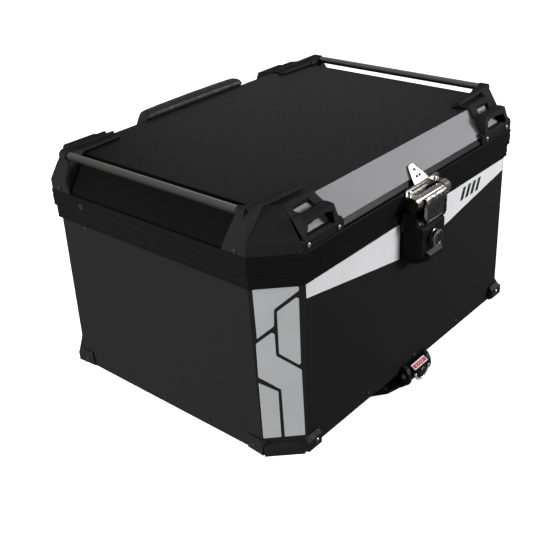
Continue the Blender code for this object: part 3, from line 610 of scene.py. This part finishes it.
def release_label():
    """Red label with pale edges and plain slanted blocks on the paddle's head."""
    plate = ((-15.4, 0.9), (15.4, 0.9), (15.4, 9.3), (-15.4, 9.3))
    film("release_label", plate, on_head, WHITE_FILM, "release_lever", 0.8, 0.12, 0.02)
    field = ((-14.6, 2.2), (14.6, 2.2), (14.6, 7.6), (-14.6, 7.6))
    film("release_field", field, on_head, RED_FILM, "release_lever", 0.6, 0.1, 0.16)
    for k in range(4):
        left = -9.4 + 5.0 * k
        bar = ((left, 3.6), (left + 1.1, 3.6), (left + 2.3, 6.2), (left + 1.2, 6.2))
        film(
            "release_bar_%d" % (k + 1), bar, on_head, WHITE_FILM, "release_lever",
            0.3, 0.08, 0.28,
        )


# Arc of the painted highlight tube along the release tongue's round edge.
EDGE_HIGHLIGHT_R = 16.4
EDGE_HIGHLIGHT_Z = 28.6
EDGE_HIGHLIGHT_STEPS = 24
AXLE = (-205.0, 24.5)


def release_highlight_and_washers():
    """Painted highlight along the tongue's round edge: a pale tube where the glossy black edge catches light;
    and a pale plated washer inside each ear.
    """
    path = []
    for k in range(EDGE_HIGHLIGHT_STEPS + 1):
        a = math.pi * (1.04 + 0.92 * k / EDGE_HIGHLIGHT_STEPS)
        path.append((EDGE_HIGHLIGHT_R * math.cos(a), -216.0, EDGE_HIGHLIGHT_Z + EDGE_HIGHLIGHT_R * math.sin(a)))
    tube("release_edge_highlight", path, 1.5, HIGHLIGHT_AND_PLATING, "release_lever")
    for tag, side in (("l", -1.0), ("r", 1.0)):
        ring(
            "release_washer_" + tag, (side * 18.9, *AXLE), 6.2, 2.9, 1.2,
            HIGHLIGHT_AND_PLATING, "case",
        )


# ---------------------------------------------------------------- backrest pad


def backrest():
    """Padded backrest: its CAD solid remeshed and smoothed until its edges are soft and round."""
    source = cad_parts["backrest_pad"]
    mesh = source.data.copy()
    mesh.name = "backrest_cushion"
    obj = bpy.data.objects.new("backrest_cushion", mesh)
    bpy.context.scene.collection.objects.link(obj)
    apply_modifier(obj, "REMESH", mode="VOXEL", voxel_size=0.003, use_smooth_shade=True)
    apply_modifier(obj, "SMOOTH", factor=0.6, iterations=6)
    apply_modifier(obj, "SUBSURF", levels=1, render_levels=1)
    for poly in obj.data.polygons:
        poly.use_smooth = True
    wear(obj, PAD)
    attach(obj, "lid")
    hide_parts("backrest_pad")


def apply_modifier(obj, kind, **settings):
    mod = obj.modifiers.new(kind.lower(), kind)
    for key, value in settings.items():
        setattr(mod, key, value)
    graph = bpy.context.evaluated_depsgraph_get()
    graph.update()
    result = bpy.data.meshes.new_from_object(obj.evaluated_get(graph))
    obj.modifiers.clear()
    obj.data = result


# ---------------------------------------------------------------- stage


def studio():
    """White floor that throws no light on the case, a dim sky and five softboxes."""
    bpy.ops.mesh.primitive_plane_add(size=60.0, location=(0.0, 0.0, -0.0004))
    floor = bpy.context.object
    floor.name = "floor"
    mat = bpy.data.materials.new("floor_white")
    mat.use_nodes = True
    bsdf = mat.node_tree.nodes["Principled BSDF"]
    bsdf.inputs["Base Color"].default_value = (0.8, 0.8, 0.8, 1.0)
    bsdf.inputs["Roughness"].default_value = 0.9
    bsdf.inputs["Specular IOR Level"].default_value = 0.1
    bsdf.inputs["Emission Color"].default_value = (1.0, 1.0, 1.0, 1.0)
    bsdf.inputs["Emission Strength"].default_value = 0.85
    floor.data.materials.append(mat)
    floor.visible_diffuse = False
    floor.visible_glossy = False
    floor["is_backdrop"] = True
    sky()
    for lamp in SOFTBOXES:
        softbox(*lamp)
    bpy.context.scene.view_settings.view_transform = "Standard"


SKY_TOP = 0.20
SKY_HORIZON = 0.16
SKY_GROUND = 0.10
# name, place, aim, width, height, watts, and whether glossy faces mirror it
SOFTBOXES = (
    ("top", (2.1, 1.7, 1.6), (0.0, 0.0, 0.3), 1.6, 1.2, 3.0, True),
    ("left", (-2.5, 0.3, 0.7), (-0.1, 0.0, 0.2), 1.2, 1.0, 110.0, False),
    ("front", (1.7, -2.2, 1.0), (0.1, 0.0, 0.2), 0.7, 0.6, 66.0, True),
    ("back", (-0.8, 2.8, 1.0), (0.0, 0.0, 0.2), 1.2, 0.8, 24.0, False),
    ("glint", (1.63, -1.48, 1.7), (0.0, -0.2, 0.29), 0.9, 0.9, 8.0, True),
)


def sky():
    """Overcast sky: bright overhead, dim at the horizon and below it."""
    world = bpy.data.worlds.new("studio")
    world.use_nodes = True
    tree = world.node_tree
    back = tree.nodes["Background"]
    back.inputs["Strength"].default_value = 1.0
    coords = tree.nodes.new("ShaderNodeTexCoord")
    split = tree.nodes.new("ShaderNodeSeparateXYZ")
    ramp = tree.nodes.new("ShaderNodeValToRGB")
    shift = tree.nodes.new("ShaderNodeMapRange")
    shift.inputs["From Min"].default_value = -1.0
    shift.inputs["From Max"].default_value = 1.0
    stops = ((0.0, SKY_GROUND), (0.48, SKY_GROUND), (0.56, SKY_HORIZON), (0.85, SKY_TOP))
    while len(ramp.color_ramp.elements) < len(stops):
        ramp.color_ramp.elements.new(0.5)
    for element, (place, level) in zip(ramp.color_ramp.elements, stops):
        element.position = place
        element.color = (level, level, level * 1.01, 1.0)
    tree.links.new(coords.outputs["Generated"], split.inputs["Vector"])
    tree.links.new(split.outputs["Z"], shift.inputs["Value"])
    tree.links.new(shift.outputs["Result"], ramp.inputs["Fac"])
    tree.links.new(ramp.outputs["Color"], back.inputs["Color"])
    bpy.context.scene.world = world


def softbox(name, place, aim, width, height, watts, mirrored):
    """Rectangular light; glossy faces mirror it only if mirrored."""
    data = bpy.data.lights.new("softbox_" + name, "AREA")
    data.shape = "RECTANGLE"
    data.size = width
    data.size_y = height
    data.energy = watts
    light = bpy.data.objects.new("softbox_" + name, data)
    light.visible_glossy = mirrored
    light.location = place
    light.rotation_euler = (Vector(aim) - Vector(place)).to_track_quat("-Z", "Y").to_euler()
    bpy.context.scene.collection.objects.link(light)


AZIMUTH = math.radians(-47.76)
ELEVATION = math.radians(28.13)
ROLL = math.radians(-3.21)
CAMERA_PLACE = (-0.86003, -0.72743, 0.71773)
LENS = 60.29


def camera():
    """Camera aimed by compass angle, height angle and roll."""
    back = Vector((
        math.sin(AZIMUTH) * math.cos(ELEVATION),
        -math.cos(AZIMUTH) * math.cos(ELEVATION),
        math.sin(ELEVATION),
    ))
    right = (-back).cross(Vector((0.0, 0.0, 1.0))).normalized()
    up = right.cross(-back)
    x_axis = right * math.cos(ROLL) + up * math.sin(ROLL)
    y_axis = up * math.cos(ROLL) - right * math.sin(ROLL)
    data = bpy.data.cameras.new("camera")
    data.sensor_width = 36.0
    data.lens = LENS
    data.clip_start = 0.05
    cam = bpy.data.objects.new("camera", data)
    basis = Matrix((x_axis, y_axis, back)).transposed().to_4x4()
    cam.matrix_world = Matrix.Translation(CAMERA_PLACE) @ basis
    bpy.context.scene.collection.objects.link(cam)
    bpy.context.scene.camera = cam


dress_frame()
corner_decals()
front_decals()
rivets()
guard_screws()
catch_rivets()
catch_mark()
handle_mark()
release_label()
release_highlight_and_washers()
backrest()
studio()
camera()

sizes = {"cad": CAD_BOX, "visual": [list(corner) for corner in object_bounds()]}
for key, corners in sizes.items():
    sizes[key] = [[float(c) for c in corner] for corner in corners]
